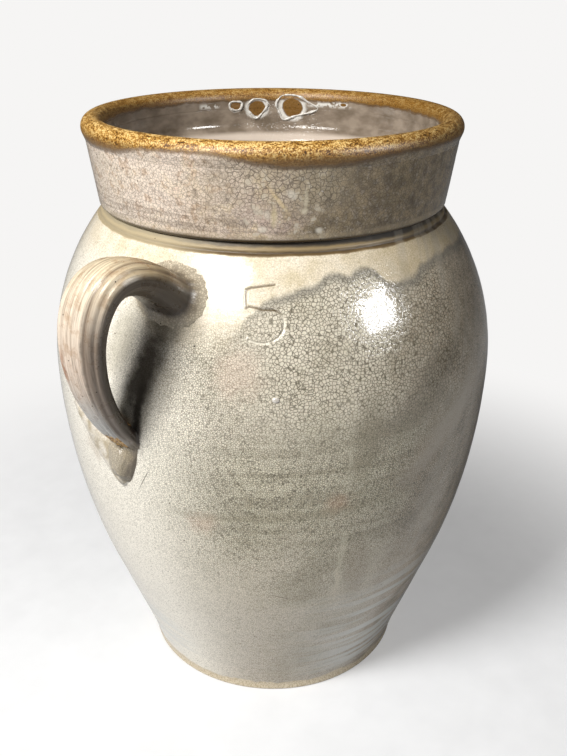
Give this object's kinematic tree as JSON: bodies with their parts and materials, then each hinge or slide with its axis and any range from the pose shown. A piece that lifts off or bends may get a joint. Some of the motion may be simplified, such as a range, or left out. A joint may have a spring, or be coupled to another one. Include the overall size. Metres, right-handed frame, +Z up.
{
  "type": "stoneware crock",
  "caption": "Wide-bellied stoneware storage crock with a low collar, rolled bare-clay rim, lid ledge inside the mouth and opposed pulled loop handles for carrying.",
  "frame": {"origin": "centre of the flat base, on the jar's turning axis at table height", "axes": "+Z up along the turning axis, the two handles on the X axis, the pictured one on the -X side"},
  "size_m": [0.404, 0.318, 0.42],
  "materials": {
    "glaze_grey": "glossy crazed glaze",
    "glaze_taupe": "glossy crazed glaze",
    "bare_clay": "unglazed, worn smooth",
    "glaze_handle": "thin glossy glaze over ribbed clay"
  },
  "bodies": {
    "root": {"lower_body": "glaze_grey", "upper_body": "glaze_grey", "collar": "glaze_taupe", "rim": "bare_clay", "handle_near": "glaze_handle", "handle_far": "glaze_handle"}
  },
  "joints": []
}
